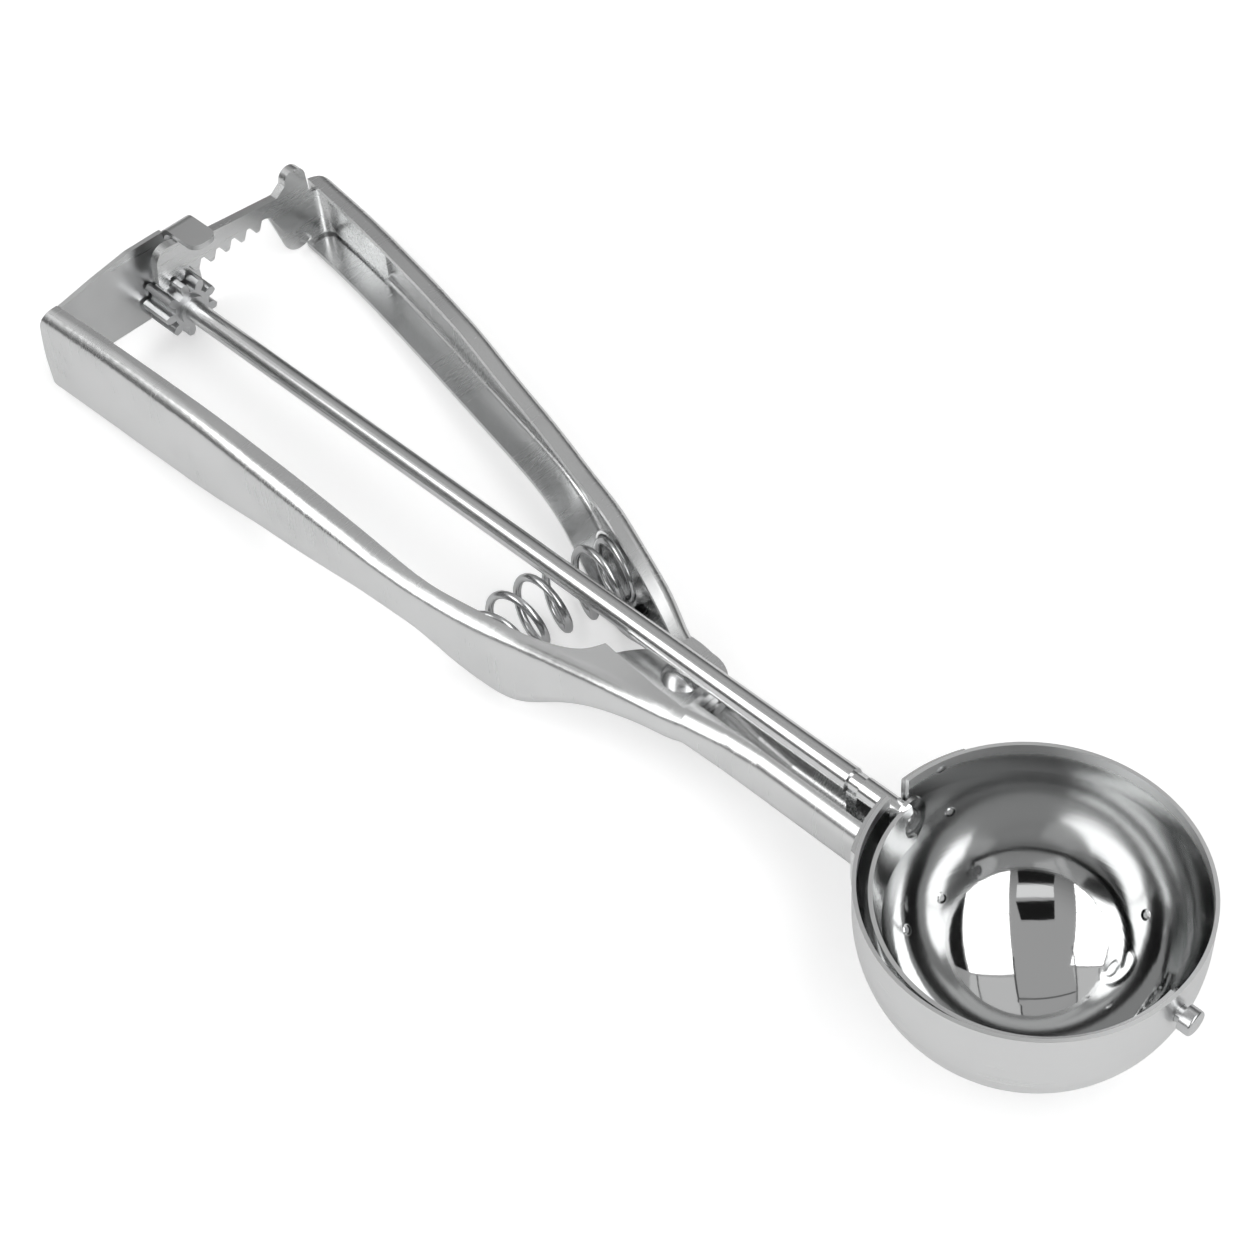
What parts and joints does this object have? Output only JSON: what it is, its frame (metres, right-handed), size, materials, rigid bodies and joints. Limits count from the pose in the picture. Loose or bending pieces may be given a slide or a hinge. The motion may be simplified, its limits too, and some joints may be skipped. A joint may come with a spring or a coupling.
{
  "type": "lever ice cream scoop",
  "caption": "Squeeze-handle ice cream scoop: round bowl with a sweeping scraper blade turned by a rack and pinion on two sprung channel handles.",
  "frame": {"origin": "centre of the bowl, on the axis of the long spindle", "axes": "+X along the spindle towards the front of the bowl, +Y towards the hinged lever handle, +Z out of the open mouth of the bowl"},
  "size_m": [0.2278, 0.0607, 0.0391],
  "materials": {
    "stainless_sheet": "polished",
    "stainless_polished": "mirror",
    "stainless_wire": "bright drawn"
  },
  "bodies": {
    "frame": {"main_handle": "stainless_sheet", "rear_bridge": "stainless_sheet", "bowl_saddle": "stainless_sheet", "bowl": "stainless_polished", "rod_keeper": "stainless_sheet", "pivot_rivet": "stainless_sheet", "return_spring": "stainless_wire"},
    "lever": {"lever_handle": "stainless_sheet", "rack_front_plate": "stainless_sheet", "rack_back_plate": "stainless_sheet"},
    "spindle": {"drive_rod": "stainless_sheet", "pinion": "stainless_wire", "scraper_blade": "stainless_polished", "blade_pin": "stainless_sheet"}
  },
  "joints": [
    {"name": "squeeze", "type": "hinge", "parent": "frame", "child": "lever", "pos_m": [-0.068, 0, -0.008], "axis": [0, 0, 1], "range_deg": [0, 7.07], "stiffness_Nm_per_rad": 5.3, "springref_deg": -13.75, "deforming": ["return_spring"]},
    {"name": "blade_sweep", "type": "hinge", "parent": "frame", "child": "spindle", "pos_m": [0, 0, 0], "axis": [1, 0, 0], "range_deg": [0, 180]}
  ],
  "couplings": [
    {"joint": "blade_sweep", "follows": "squeeze", "ratio": 25.454}
  ]
}
